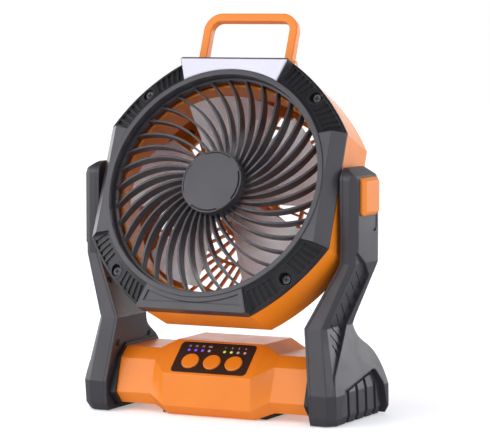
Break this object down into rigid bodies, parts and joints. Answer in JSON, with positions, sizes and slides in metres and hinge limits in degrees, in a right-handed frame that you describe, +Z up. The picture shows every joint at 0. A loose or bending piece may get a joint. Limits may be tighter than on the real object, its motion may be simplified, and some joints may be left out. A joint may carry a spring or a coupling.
{
  "type": "camping fan",
  "caption": "Rechargeable camping fan: tilting octagonal head with spiral grille, lamp and fold-down handle, carried by side arms on a battery base with push buttons.",
  "frame": {"origin": "on the floor, at the centre of the bounding box's bottom face", "axes": "+Z up, the fan faces -Y and slightly up, +X to the right seen from the front"},
  "size_m": [0.266, 0.1532, 0.3391],
  "materials": {
    "orange_plastic": "satin moulded ABS",
    "grey_plastic": "fine spark-eroded texture",
    "black_plastic": "fine texture",
    "black_rubber": "matte",
    "panel_gloss": "smoked gloss",
    "blade_plastic": "milky translucent",
    "lamp_lens": "milky diffuser",
    "lamp_chip": "phosphor",
    "board": "solder mask",
    "light_pipe": "clear light pipe",
    "cell_wrap": "shrink sleeve",
    "steel": "zinc plated",
    "nylon": "natural nylon"
  },
  "bodies": {
    "stand": {"base_housing": "orange_plastic", "base_cover": "black_plastic", "base_screws": "steel", "control_panel": "panel_gloss", "battery_lights": "light_pipe", "speed_lights": "light_pipe", "control_board": "board", "tact_switches": "black_plastic", "battery_cells": "cell_wrap", "battery_tray": "black_plastic", "usb_c_inlet": "steel", "neck_screws": "steel", "arm_outer_left": "grey_plastic", "arm_inner_left": "grey_plastic", "arm_screws_left": "steel", "foot_pad_left": "black_rubber", "pivot_cap_left": "orange_plastic", "pivot_bush_left": "nylon", "neck_collar_left": "black_plastic", "neck_plate_left": "black_plastic", "arm_outer_right": "grey_plastic", "arm_inner_right": "grey_plastic", "arm_screws_right": "steel", "foot_pad_right": "black_rubber", "pivot_cap_right": "orange_plastic", "pivot_bush_right": "nylon", "neck_collar_right": "black_plastic", "neck_plate_right": "black_plastic"},
    "head": {"front_bezel": "grey_plastic", "led_lens": "lamp_lens", "led_board": "board", "led_chips": "lamp_chip", "front_grille": "grey_plastic", "hub_cap": "grey_plastic", "rear_shell": "orange_plastic", "rear_guard": "orange_plastic", "motor_mount": "orange_plastic", "motor_can": "steel", "handle_pins": "steel", "bezel_screws": "steel", "guard_screws": "steel", "motor_screws": "steel", "pivot_screws": "steel", "pivot_trunnion_left": "nylon", "friction_washer_left": "black_rubber", "pivot_washer_left": "steel", "pivot_trunnion_right": "nylon", "friction_washer_right": "black_rubber", "pivot_washer_right": "steel"},
    "impeller": {"fan_blades": "blade_plastic", "motor_shaft": "steel"},
    "handle": {"handle": "orange_plastic"},
    "fan_button": {"fan_button": "orange_plastic"},
    "timer_button": {"timer_button": "orange_plastic"},
    "lamp_button": {"lamp_button": "orange_plastic"}
  },
  "joints": [
    {"name": "head_tilt", "type": "hinge", "parent": "stand", "child": "head", "pos_m": [0, -0.00146, 0.1852], "axis": [-1, 0, 0], "range_deg": [-112, 68]},
    {"name": "fan_spin", "type": "hinge", "parent": "head", "child": "impeller", "pos_m": [0, -0.00146, 0.1852], "axis": [0, -0.9272, 0.3746], "continuous": true},
    {"name": "handle_fold", "type": "hinge", "parent": "head", "child": "handle", "pos_m": [0, 0.02912, 0.29558], "axis": [-1, 0, 0], "range_deg": [0, 90]},
    {"name": "fan_press", "type": "slide", "parent": "stand", "child": "fan_button", "axis": [0, 0.6644, -0.7474], "range_m": [0, 0.001], "stiffness_N_per_m": 600, "springref_m": -0.0008},
    {"name": "timer_press", "type": "slide", "parent": "stand", "child": "timer_button", "axis": [0, 0.6644, -0.7474], "range_m": [0, 0.001], "stiffness_N_per_m": 600, "springref_m": -0.0008},
    {"name": "lamp_press", "type": "slide", "parent": "stand", "child": "lamp_button", "axis": [0, 0.6644, -0.7474], "range_m": [0, 0.001], "stiffness_N_per_m": 600, "springref_m": -0.0008}
  ]
}
